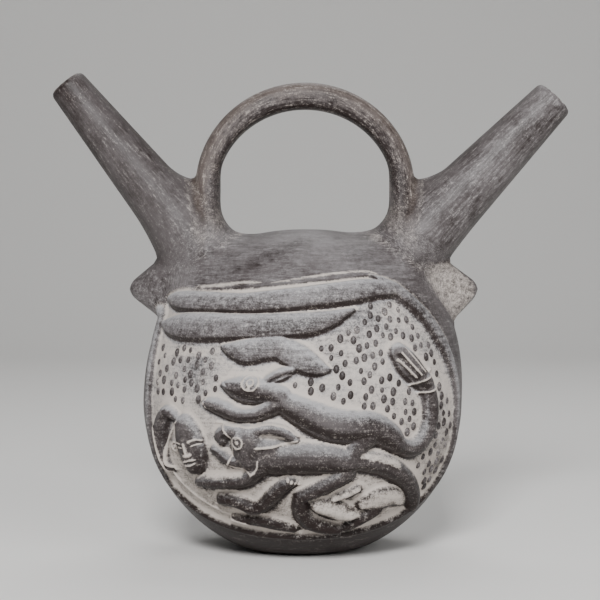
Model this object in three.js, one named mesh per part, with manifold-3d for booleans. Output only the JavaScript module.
// A hollow moulded bottle with two spouts, an arched handle and a relief on its front.
// It is fired in one piece, so it is one solid: the outer form is joined first,
// then the cavity and the two bores are cut out of it.
// Millimetres, +Z up, the relief faces -Y, and the origin is the middle of the flat base.

import * as THREE from 'three';
import { mergeVertices } from 'three/addons/utils/BufferGeometryUtils.js';
import Module from 'manifold-3d';

// Body
const bodyWidth = 137;
const bodyDepth = 112;
const bellyHeight = 64;
const domeHeight = 73.4;
const domeLean = 1.3;
const domeFullness = 2.3;
const baseWidth = 49;
const wall = 5;
const floorThickness = 7;

// Spouts: where each axis leaves the body, its lean from upright and its length to the tip
const leftSpoutOffset = 41.3;
const leftSpoutLean = 38.8;
const leftSpoutLength = 95.6;
const leftTipDiameter = 16.1;
const leftRootFlare = 9;
const rightSpoutOffset = 42.9;
const rightSpoutLean = 43.9;
const rightSpoutLength = 93.8;
const rightTipDiameter = 17.7;
const rightRootFlare = 5;
const spoutGrowth = 0.142;
const spoutSink = 7;
const flareShare = 0.37;
const rimWall = 3;
const rimRounding = 1.6;
const boreReachIntoCavity = 11;

// Handle: an arch of round-edged strap that stands on the shoulders
const archRadius = 42.3;
const archRise = 40.4;
const handleOffset = 1;
const handleRise = 27.2;
const archThickness = 11.6;
const legThickness = 8.2;
const handleDepth = 13;
const handleFullness = 2.4;
const leftLegFlare = 10.4;
const rightLegFlare = 14.5;
const legFlareRise = 18;
const webHalfHeight = 6.4;
const webHalfDepth = 5.2;

// Lugs: a pyramid on each shoulder
const lugHeightOnBody = 111.8;
const leftLugReach = 18.6;
const rightLugReach = 19.6;
const leftLugHalfHeight = 18.6;
const rightLugHalfHeight = 21.2;
const lugRootHalfDepth = 14.5;
const lugTipHalfSize = 2.2;
const lugFullness = 2.6;
const leftLugDroop = -0.6;
const rightLugDroop = 3;

// Relief: the heights that its parts stand above the wall, and the border's place
const figureHeight = 3.3;
const limbHeight = 2.6;
const earHeight = 3.2;
const strapHeight = 2;
const borderHeight = 1.9;
const borderWidth = 4;
const borderInset = 3.8;
const borderFootHeight = 11.4;
const borderSquareness = 2.5;

// Fineness of the facets
const bodySides = 40;
const bodyRings = 22;
const cavitySides = 24;
const cavityRings = 12;
const spoutSides = 16;
const boreSides = 12;
const handleSides = 12;
const webSides = 10;
const lugSides = 12;
const reliefStep = 5.4;
const borderStep = 8;
const weldDistance = 1e-4;

const clay = new THREE.MeshStandardMaterial({ color: 0x5c5a5c, roughness: 0.5, metalness: 0 });

const wasm = await Module();
wasm.setup();

const halfWidth = bodyWidth / 2;
const halfDepth = bodyDepth / 2;
const bowlHeight = bellyHeight / Math.sqrt(1 - (baseWidth / bodyWidth) ** 2);
const frontSide = -1;
const backSide = 1;

// A solid from a closed mesh, with its shared vertices merged and its faces turned outwards
function solidFrom(geometry) {
  const bare = new THREE.BufferGeometry();
  bare.setAttribute('position', geometry.getAttribute('position'));
  bare.setIndex(geometry.getIndex());
  const merged = mergeVertices(bare, weldDistance);
  const places = merged.getAttribute('position').array;
  const index = merged.getIndex().array;
  const triangles = [];
  let volume = 0;
  for (let i = 0; i < index.length; i += 3) {
    const [a, b, c] = [index[i], index[i + 1], index[i + 2]];
    if (a === b || b === c || c === a) continue;
    triangles.push(a, b, c);
    const [p, q, r] = [a, b, c].map((k) => new THREE.Vector3().fromArray(places, 3 * k));
    volume += p.dot(q.cross(r));
  }
  if (volume < 0) triangles.reverse();
  return new wasm.Manifold(new wasm.Mesh({
    numProp: 3,
    vertProperties: Float32Array.from(places),
    triVerts: Uint32Array.from(triangles),
  }));
}

// A closed solid through a row of rings with equal numbers of points, with flat ends
function loft(rings) {
  const count = rings[0].length;
  const places = rings.flat().flatMap((p) => [p.x, p.y, p.z]);
  const index = [];
  for (let r = 0; r + 1 < rings.length; r += 1) {
    for (let k = 0; k < count; k += 1) {
      const next = (k + 1) % count;
      const [a, b] = [r * count + k, r * count + next];
      index.push(a, b, b + count, a, b + count, a + count);
    }
  }
  const last = (rings.length - 1) * count;
  for (let k = 1; k + 1 < count; k += 1) {
    index.push(0, k + 1, k);
    index.push(last, last + k, last + k + 1);
  }
  const geometry = new THREE.BufferGeometry();
  geometry.setAttribute('position', new THREE.Float32BufferAttribute(places, 3));
  geometry.setIndex(index);
  return solidFrom(geometry);
}

// A ring of points on a rounded rectangle: a fullness of 2 is an ellipse, more is squarer
function ring(centre, sideways, upwards, halfSide, halfUp, count, fullness = 2) {
  const points = [];
  for (let k = 0; k < count; k += 1) {
    const angle = (2 * Math.PI * k) / count;
    const c = Math.cos(angle);
    const s = Math.sin(angle);
    const x = halfSide * Math.sign(c) * Math.abs(c) ** (2 / fullness);
    const y = halfUp * Math.sign(s) * Math.abs(s) ** (2 / fullness);
    points.push(centre.clone().addScaledVector(sideways, x).addScaledVector(upwards, y));
  }
  return points;
}

// The body's size at a height, as a share of its width and depth at the belly
function girth(z, inset = 0) {
  const rise = z - bellyHeight;
  const reach = (rise > 0 ? domeHeight : bowlHeight) - inset;
  const fullness = rise > 0 ? domeFullness : 2;
  return Math.max(0, 1 - Math.abs(rise / reach) ** fullness) ** (1 / fullness);
}

// The hand-built dome leans a little to the right, up to its shoulder and no further
function sway(z) {
  const shoulderRise = 0.46 * domeHeight;
  return domeLean * THREE.MathUtils.clamp((z - bellyHeight) / shoulderRise, 0, 1);
}

// The height of the dome's surface in the middle plane, at a place across
function domeSurface(x) {
  const share = Math.min(1, Math.abs(x - domeLean) / halfWidth);
  return bellyHeight + domeHeight * (1 - share ** domeFullness) ** (1 / domeFullness);
}

// How far the body reaches forwards at a place seen from the front
function reachForward(x, z) {
  const across = (x - sway(z)) / halfWidth;
  return halfDepth * Math.sqrt(Math.max(0, girth(z) ** 2 - across ** 2));
}

// The body's form inset by a wall, turned from a profile and flattened from front to back
function bodyForm(inset, floor, sides, rings) {
  const profile = [new THREE.Vector2(0, floor)];
  const top = bellyHeight + domeHeight - inset;
  const bottomAngle = Math.asin((floor - bellyHeight) / (bowlHeight - inset));
  for (let k = 0; k < rings; k += 1) {
    const angle = bottomAngle + (Math.PI / 2 - bottomAngle) * (k / rings);
    const reach = (angle > 0 ? domeHeight : bowlHeight) - inset;
    const fullness = angle > 0 ? domeFullness : 2;
    const z = bellyHeight + reach * Math.sign(angle) * Math.abs(Math.sin(angle)) ** (2 / fullness);
    profile.push(new THREE.Vector2((halfWidth - inset) * girth(z, inset), z));
  }
  profile.push(new THREE.Vector2(0, top));
  const geometry = new THREE.LatheGeometry(profile, sides);
  geometry.rotateX(Math.PI / 2);
  geometry.scale(1, (halfDepth - inset) / (halfWidth - inset), 1);
  const places = geometry.getAttribute('position');
  for (let k = 0; k < places.count; k += 1) places.setX(k, places.getX(k) + sway(places.getZ(k)));
  return solidFrom(geometry);
}

// A spout's numbers, worked out from its offset, lean and length; side is -1 left, 1 right
function spoutLayout(side, offset, lean, length, tipDiameter, rootFlare) {
  const angle = THREE.MathUtils.degToRad(lean);
  const along = new THREE.Vector3(side * Math.sin(angle), 0, Math.cos(angle));
  const outward = new THREE.Vector3(side * Math.cos(angle), 0, -Math.sin(angle));
  const root = new THREE.Vector3(side * offset, 0, domeSurface(side * offset));
  return { along, outward, root, length, tipRadius: tipDiameter / 2, rootFlare };
}

const depthways = new THREE.Vector3(0, 1, 0);
const spouts = {
  left: spoutLayout(-1, leftSpoutOffset, leftSpoutLean, leftSpoutLength, leftTipDiameter,
    leftRootFlare),
  right: spoutLayout(1, rightSpoutOffset, rightSpoutLean, rightSpoutLength, rightTipDiameter,
    rightRootFlare),
};

function spoutRadius(spout, distanceFromTip) {
  return spout.tipRadius + (spoutGrowth / 2) * distanceFromTip;
}

// The outside of a spout: a cone that flares towards the shoulder, with a rounded rim
function spoutOutside(spout) {
  const rings = [];
  const steps = 11;
  const fullLength = spout.length + spoutSink;
  for (let k = 0; k <= steps; k += 1) {
    const fromTip = rimRounding + (fullLength - rimRounding) * (1 - k / steps);
    const fromRoot = Math.max(0, spout.length - fromTip);
    const nearness = Math.max(0, 1 - fromRoot / (flareShare * spout.length));
    const flare = spout.rootFlare * nearness ** 2;
    const centre = spout.root.clone()
      .addScaledVector(spout.along, spout.length - fromTip)
      .addScaledVector(spout.outward, flare / 2);
    const radius = spoutRadius(spout, fromTip) + flare / 2;
    rings.push(ring(centre, spout.outward, depthways, radius, radius, spoutSides));
  }
  const tip = spout.root.clone().addScaledVector(spout.along, spout.length);
  const rimRadius = spout.tipRadius - rimRounding / 2;
  rings.push(ring(tip, spout.outward, depthways, rimRadius, rimRadius, spoutSides));
  return loft(rings);
}

// The bore keeps the spout's wall as it widens, and opens into the cavity
function spoutBore(spout) {
  const beyondTip = 2;
  const stations = [-boreReachIntoCavity, 0, spout.length / 2, spout.length, spout.length + beyondTip];
  const rings = stations.map((fromRoot) => {
    const fromTip = Math.max(0, spout.length - fromRoot);
    const rootShare = Math.min(1, fromTip / spout.length);
    const thickness = rimWall + (wall - rimWall) * rootShare;
    const radius = spoutRadius(spout, fromTip) - thickness;
    const centre = spout.root.clone().addScaledVector(spout.along, fromRoot);
    return ring(centre, spout.outward, depthways, radius, radius, boreSides);
  });
  return loft(rings);
}

// The handle: a slightly flattened half circle on two legs, which widen at the shoulders
const archHeight = domeSurface(archRadius) + handleRise;

function legRing(side, drop, rootFlare) {
  const nearness = THREE.MathUtils.clamp((drop - (handleRise - legFlareRise) / 2) / legFlareRise, 0, 1);
  const flare = rootFlare * nearness ** 2;
  const centre = new THREE.Vector3(handleOffset + side * archRadius, 0, archHeight - drop);
  const across = new THREE.Vector3(side, 0, 0);
  return ring(centre, across, depthways, legThickness / 2 + flare, handleDepth / 2 + flare / 2,
    handleSides, handleFullness);
}

function handle() {
  const rings = [];
  const legSteps = 5;
  const archSteps = 18;
  const legSink = 4;
  for (let k = 0; k < legSteps; k += 1) {
    rings.push(legRing(1, (handleRise + legSink) * (1 - k / legSteps), rightLegFlare));
  }
  for (let k = 0; k <= archSteps; k += 1) {
    const angle = (Math.PI * k) / archSteps;
    const c = Math.cos(angle);
    const s = Math.sin(angle);
    const centre = new THREE.Vector3(handleOffset + archRadius * c, 0, archHeight + archRise * s);
    const outward = new THREE.Vector3(c / archRadius, 0, s / archRise).normalize();
    const half = (legThickness + (archThickness - legThickness) * s) / 2;
    rings.push(ring(centre, outward, depthways, half, handleDepth / 2, handleSides, handleFullness));
  }
  for (let k = 1; k <= legSteps; k += 1) {
    rings.push(legRing(-1, (handleRise + legSink) * (k / legSteps), leftLegFlare));
  }
  return loft(rings);
}

// The clay web that fills the crotch between a leg and its spout
function web(side, spout) {
  const leg = new THREE.Vector3(handleOffset + side * archRadius, 0, archHeight);
  const rise = (archHeight - spout.root.z) / spout.along.z;
  const spoutMiddle = spout.root.clone().addScaledVector(spout.along, rise);
  const upwards = new THREE.Vector3(0, 0, 1);
  const shares = [0, 0.35, 0.7, 1];
  const rings = shares.map((share) => ring(leg.clone().lerp(spoutMiddle, share), depthways, upwards,
    webHalfDepth, webHalfHeight, webSides));
  return loft(rings);
}

// A lug: a round-edged pyramid that points outwards from the shoulder
function lug(side, reach, rootHalfHeight, droop) {
  const surface = halfWidth * girth(lugHeightOnBody);
  const upwards = new THREE.Vector3(0, 0, 1);
  const shares = [-0.35, 0, 0.35, 0.7, 0.93, 1];
  const rings = shares.map((share) => {
    const left = 1 - share;
    const tipRound = share === 1 ? 0.55 : 1;
    const centre = new THREE.Vector3(side * (surface + reach * share), 0, lugHeightOnBody - droop * left);
    const halfUp = (lugTipHalfSize + (rootHalfHeight - lugTipHalfSize) * left) * tipRound;
    const halfSide = (lugTipHalfSize + (lugRootHalfDepth - lugTipHalfSize) * left) * tipRound;
    return ring(centre, depthways, upwards, halfSide, halfUp, lugSides, lugFullness);
  });
  return loft(rings);
}

// A rounded ridge on the body's front or back through places given as [x, z, half width]
function ridge(places, height, side, step) {
  const route = new THREE.CatmullRomCurve3(
    places.map(([x, z, half]) => new THREE.Vector3(x, half, z)), false, 'centripetal');
  const steps = Math.max(3, Math.round(route.getLength() / step));
  const samples = route.getSpacedPoints(steps);
  const onBody = samples.map((p) => new THREE.Vector3(p.x, side * reachForward(p.x, p.z), p.z));
  const rings = onBody.map((centre, k) => {
    const before = onBody[Math.max(0, k - 1)];
    const after = onBody[Math.min(steps, k + 1)];
    const along = after.clone().sub(before).normalize();
    const out = outwardAt(centre);
    const across = new THREE.Vector3().crossVectors(along, out).normalize();
    const end = k === 0 || k === steps ? 0.6 : 1;
    const half = samples[k].y * end;
    return ridgeSection(centre, across, out, half, height * end);
  });
  return loft(rings);
}

// The direction straight out of the body's surface
function outwardAt(place) {
  const nudge = 0.5;
  const rise = girth(place.z + nudge) ** 2 - girth(place.z - nudge) ** 2;
  const x = (2 * (place.x - sway(place.z))) / halfWidth ** 2;
  const y = (2 * place.y) / halfDepth ** 2;
  return new THREE.Vector3(x, y, -rise / (2 * nudge)).normalize();
}

// One cross-section of a ridge: a low arch above the wall and a flat foot inside it
function ridgeSection(centre, across, out, half, height) {
  const footDepth = 1.6;
  const shape = [[-1.2, -1], [-0.7, 0.74], [0, 1], [0.7, 0.74], [1.2, -1]];
  return shape.map(([side, up]) => {
    const lift = up < 0 ? -footDepth : up * height;
    return centre.clone().addScaledVector(across, side * half).addScaledVector(out, lift);
  });
}

// The relief's own measure: hundredths of the half width sideways, and of the dome's
// height above the belly line or of the bowl's below it
function fromShares([across, up, half]) {
  const reach = up > 0 ? domeHeight : bowlHeight;
  return [(across / 100) * halfWidth, bellyHeight + (up / 100) * reach, (half / 100) * halfWidth];
}

// The border runs down the left side, round the bottom and up the right side to the straps
function borderRoute() {
  const half = borderWidth / 2;
  const reachSide = halfWidth - borderInset;
  const reachDown = bellyHeight - borderFootHeight;
  const leftTop = [-0.82, 0.64];
  const rightTopHeight = 0.832;
  const rightTopAngle = 1.12;
  const route = [];
  for (let k = 0; k <= 4; k += 1) {
    const rise = 1 - k / 4;
    const x = -reachSide + (reachSide + leftTop[0] * halfWidth) * rise ** 2;
    route.push([x, bellyHeight + leftTop[1] * domeHeight * rise, half]);
  }
  const turns = 14;
  for (let k = 1; k <= turns; k += 1) {
    const angle = Math.PI * (k / turns);
    const c = Math.cos(angle);
    const s = Math.sin(angle);
    const x = -reachSide * Math.sign(c) * Math.abs(c) ** (2 / borderSquareness);
    route.push([x, bellyHeight - reachDown * s ** (2 / borderSquareness), half]);
  }
  for (let k = 1; k <= 6; k += 1) {
    const angle = (rightTopAngle * k) / 6;
    const z = bellyHeight + rightTopHeight * domeHeight * Math.sin(angle);
    route.push([reachSide * Math.cos(angle), z, half]);
  }
  return route;
}

// The two straps across the top of the panel
const upperStrap = [[-84, 58, 6.8], [-65, 60, 6.6], [-36, 60.5, 6.5], [-16, 62, 7.1], [4, 64, 7.3],
  [23, 66, 7.5], [41, 68, 6.6], [54, 67, 4.4]];
const lowerStrap = [[-84, 45, 8.8], [-70, 46.5, 8.8], [-46, 47.4, 8.2], [-16, 48.5, 7.4], [4, 49.7, 7],
  [17, 52.3, 4.9], [28, 56, 1.8]];
const backUpperStrap = [[-78, 58, 6], [-40, 62, 6.4], [0, 63, 6.4], [40, 62, 6.4], [78, 58, 6]];
const backLowerStrap = [[-79, 45, 6], [-40, 48, 6.6], [0, 49, 6.6], [40, 48, 6.6], [79, 45, 6]];

// The figures of the relief: each is a set of rounded limbs, and each limb is a few places
// with half widths; the heights are the named ones above
const figures = {
  hangingPoints: {
    left: [strapHeight, [-47, 36, 1.8], [-41, 35, 4.1], [-33, 34, 7.1], [-24, 36, 6.8], [-14, 36.6, 6.5]],
    right: [strapHeight, [-12, 35, 5.3], [-6, 31.5, 6.4], [2, 27.4, 5.8], [13, 25.2, 2]],
  },
  upperCat: {
    head: [figureHeight, [-45.5, 15.5, 3], [-41, 14.9, 5.2], [-34, 13.7, 7.6], [-25, 13, 7.6], [-14, 10, 6.4]],
    ear: [earHeight, [-23.7, 17.1, 2.4], [-17, 20.2, 3.6], [-11, 23, 3.7], [-5, 25, 2]],
    trunk: [figureHeight, [-10, 6.5, 7.4], [-1.6, 2.6, 8.5], [7.8, -1.9, 9.7], [18, -6, 10.2],
      [30, -7.3, 10], [42, -8.3, 9.2], [54, -16.5, 7]],
    foreleg: [limbHeight, [-56, 5.3, 3.4], [-46, 2.7, 5], [-38, -0.3, 4.3], [-28, 0.1, 4.2], [-14, 6.4, 5.2]],
    hindLeg: [limbHeight, [41, -12, 6.4], [34, -18, 6.1], [29.5, -24, 5.5], [26.6, -28.6, 3.9]],
    tail: [limbHeight, [56, -19, 5.3], [64, -22.2, 5.6], [71, -19, 6.2], [75.5, -10.5, 6], [77, 0, 5.8],
      [76, 8, 5.6], [73.5, 14, 5.6]],
    tuft: [figureHeight, [73, 15.3, 6], [67.4, 21.3, 7.4], [61.8, 27.6, 8], [56.4, 33.4, 5.8]],
  },
  lowerCat: {
    head: [figureHeight, [-36, -18, 9.4], [-31, -18.6, 11], [-26, -19, 11], [-20, -22, 9.6]],
    upperJaw: [limbHeight, [-38, -8.6, 3.4], [-45, -6.8, 3], [-50, -7.6, 2.4], [-48.6, -15.5, 2.2]],
    lowerJaw: [limbHeight, [-38, -28.6, 3], [-45, -26.5, 2.8], [-53, -21.4, 2.2]],
    ear: [earHeight, [-28, -9.8, 3.6], [-18, -9.4, 5.1], [-9, -11.6, 4.2], [-3, -15, 1.8]],
    trunk: [figureHeight, [-23, -26.7, 8.8], [-11, -26.3, 9.5], [4, -25.8, 9.6], [27, -28.6, 7.2]],
    foreleg: [limbHeight, [-61, -43.2, 3.6], [-50, -42, 4.7], [-40, -41.2, 4.9], [-28, -35.6, 4.7],
      [-20, -29, 5.4]],
    hindLeg: [limbHeight, [27, -35, 5.4], [12, -43.5, 4.8], [0, -49.5, 4.2], [-2, -57, 4.5],
      [1.5, -66.5, 5], [17, -71.2, 3.2]],
    paw: [earHeight, [9, -56, 3.7], [15.7, -59, 6.2], [31, -61.3, 2.4]],
    thigh: [limbHeight, [29, -28.7, 6.2], [41, -32.5, 6.4], [54, -37.3, 6.2], [63.4, -46.3, 5.4],
      [66.6, -56, 4.8]],
    shin: [limbHeight, [41.5, -57.9, 3], [34, -63.5, 3.6], [22.4, -71, 2.8]],
  },
  person: {
    cap: [limbHeight, [-74, -5, 3.2], [-81, -1.8, 4.4], [-85.6, -11, 5.6], [-85.5, -24, 5], [-80.6, -36.6, 3]],
    face: [figureHeight, [-70, -9, 7.4], [-68, -17, 10.8], [-66, -26, 10], [-64.5, -33.5, 5.4]],
    arm: [limbHeight, [-48, -53, 4], [-38, -54, 5], [-30, -57.6, 5], [-22, -54.5, 4.5], [-13, -44.2, 4.4],
      [-6, -40, 3.8]],
  },
};

// The outer form, all joined
let outside = bodyForm(0, 0, bodySides, bodyRings);
for (const spout of Object.values(spouts)) outside = outside.add(spoutOutside(spout));
outside = outside.add(handle());
outside = outside.add(web(-1, spouts.left)).add(web(1, spouts.right));
outside = outside.add(lug(-1, leftLugReach, leftLugHalfHeight, leftLugDroop));
outside = outside.add(lug(1, rightLugReach, rightLugHalfHeight, rightLugDroop));

const border = borderRoute();
for (const side of [frontSide, backSide]) {
  outside = outside.add(ridge(border, borderHeight, side, borderStep));
}
for (const strap of [upperStrap, lowerStrap]) {
  outside = outside.add(ridge(strap.map(fromShares), strapHeight, frontSide, borderStep));
}
for (const strap of [backUpperStrap, backLowerStrap]) {
  outside = outside.add(ridge(strap.map(fromShares), strapHeight, backSide, borderStep));
}
for (const limbs of Object.values(figures)) {
  for (const [height, ...places] of Object.values(limbs)) {
    outside = outside.add(ridge(places.map(fromShares), height, frontSide, reliefStep));
  }
}

// The inner form, cut out as one
let inside = bodyForm(wall, floorThickness, cavitySides, cavityRings);
for (const spout of Object.values(spouts)) inside = inside.add(spoutBore(spout));
const vessel = outside.subtract(inside).getMesh();

const vesselGeometry = new THREE.BufferGeometry();
const vesselPlaces = new Float32Array(vessel.vertProperties);
vesselGeometry.setAttribute('position', new THREE.BufferAttribute(vesselPlaces, 3));
vesselGeometry.setIndex(new THREE.BufferAttribute(new Uint32Array(vessel.triVerts), 1));
vesselGeometry.computeVertexNormals();

const bottle = new THREE.Mesh(vesselGeometry, clay);
bottle.name = 'bottle';

const group = new THREE.Group();
group.add(bottle);

export default group;
